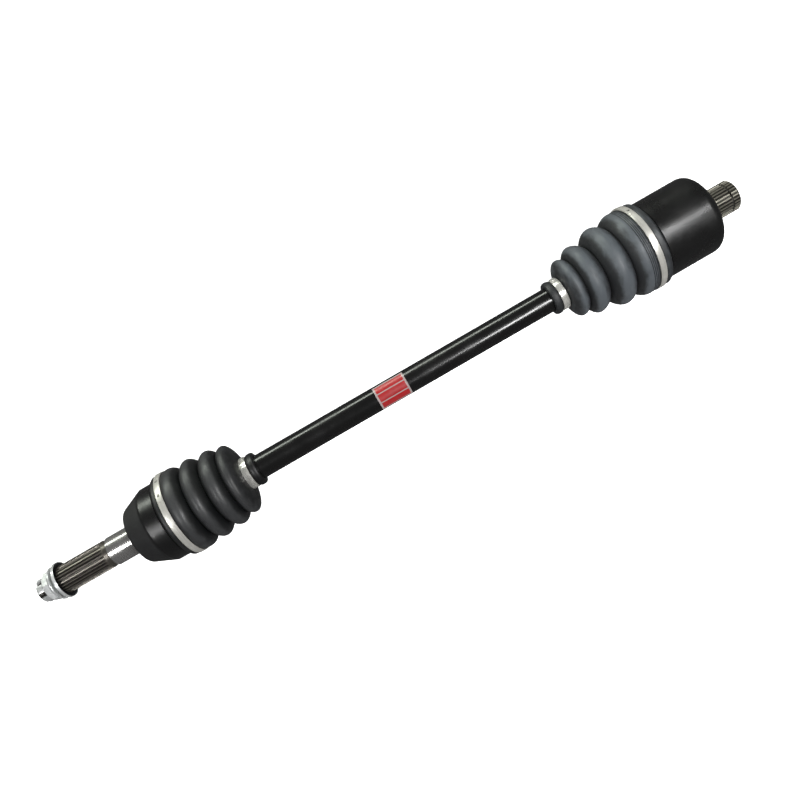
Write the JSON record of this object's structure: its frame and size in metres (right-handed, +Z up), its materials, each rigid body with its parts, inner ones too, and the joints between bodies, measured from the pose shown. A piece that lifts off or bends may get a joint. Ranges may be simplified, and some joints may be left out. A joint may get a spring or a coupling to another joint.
{
  "type": "cv axle",
  "caption": "Half shaft with a fixed ball joint and splined wheel stub at one end, a plunging ball joint and splined gearbox stub at the other, and ribbed boots.",
  "frame": {"origin": "middle of the axle on the shaft line", "axes": "+X along the shaft line towards the gearbox end, +Z up, square to the shaft"},
  "size_m": [0.7952, 0.0914, 0.0904],
  "materials": {
    "black_paint": "satin",
    "outboard_forging": "satin",
    "inboard_forging": "gloss",
    "stub_steel": "machined, oxide in the splines",
    "boot_rubber": "matte",
    "clamp_steel": "brushed",
    "zinc_steel": "zinc plated",
    "hardened_steel": "ground",
    "ball_steel": "polished",
    "spring_steel": "oiled",
    "label": "gloss"
  },
  "bodies": {
    "bar": {"axle_bar": "black_paint", "outboard_inner_race": "hardened_steel", "inboard_inner_race": "hardened_steel", "outboard_race_circlip": "spring_steel", "inboard_race_circlip": "spring_steel", "outboard_small_clamp": "clamp_steel", "inboard_small_clamp": "clamp_steel", "bar_label": "label"},
    "outboard_housing": {"outboard_housing": "outboard_forging", "wheel_stub": "stub_steel", "outboard_boot": "boot_rubber", "outboard_large_clamp": "clamp_steel", "hub_nut": "zinc_steel", "cone_washer": "zinc_steel"},
    "outboard_cage": {"outboard_cage": "hardened_steel", "outboard_ball_1": "ball_steel", "outboard_ball_2": "ball_steel", "outboard_ball_3": "ball_steel", "outboard_ball_4": "ball_steel", "outboard_ball_5": "ball_steel", "outboard_ball_6": "ball_steel"},
    "inboard_carrier": {"inboard_cage": "hardened_steel", "inboard_ball_1": "ball_steel", "inboard_ball_2": "ball_steel", "inboard_ball_3": "ball_steel", "inboard_ball_4": "ball_steel", "inboard_ball_5": "ball_steel", "inboard_ball_6": "ball_steel"},
    "inboard_cup": {"inboard_cup": "inboard_forging", "gearbox_stub": "stub_steel", "inboard_boot": "boot_rubber", "inboard_large_clamp": "clamp_steel", "inboard_retaining_ring": "spring_steel", "stub_circlip": "spring_steel"}
  },
  "joints": [
    {"name": "outboard_bend", "type": "hinge", "parent": "bar", "child": "outboard_housing", "pos_m": [-0.249, 0, 0], "axis": [0, 0, 1], "range_deg": [-40, 40], "deforming": ["outboard_boot"]},
    {"name": "outboard_cage_turn", "type": "hinge", "parent": "bar", "child": "outboard_cage", "pos_m": [-0.249, 0, 0], "axis": [0, 0, 1], "range_deg": [-20, 20]},
    {"name": "inboard_bend", "type": "hinge", "parent": "bar", "child": "inboard_carrier", "pos_m": [0.318, 0, 0], "axis": [0, 0, 1], "range_deg": [-15, 15]},
    {"name": "inboard_plunge", "type": "slide", "parent": "inboard_carrier", "child": "inboard_cup", "axis": [1, 0, 0], "range_m": [-0.015, 0.015], "deforming": ["inboard_boot"]}
  ],
  "couplings": [
    {"joint": "outboard_cage_turn", "follows": "outboard_bend", "ratio": 0.5}
  ]
}
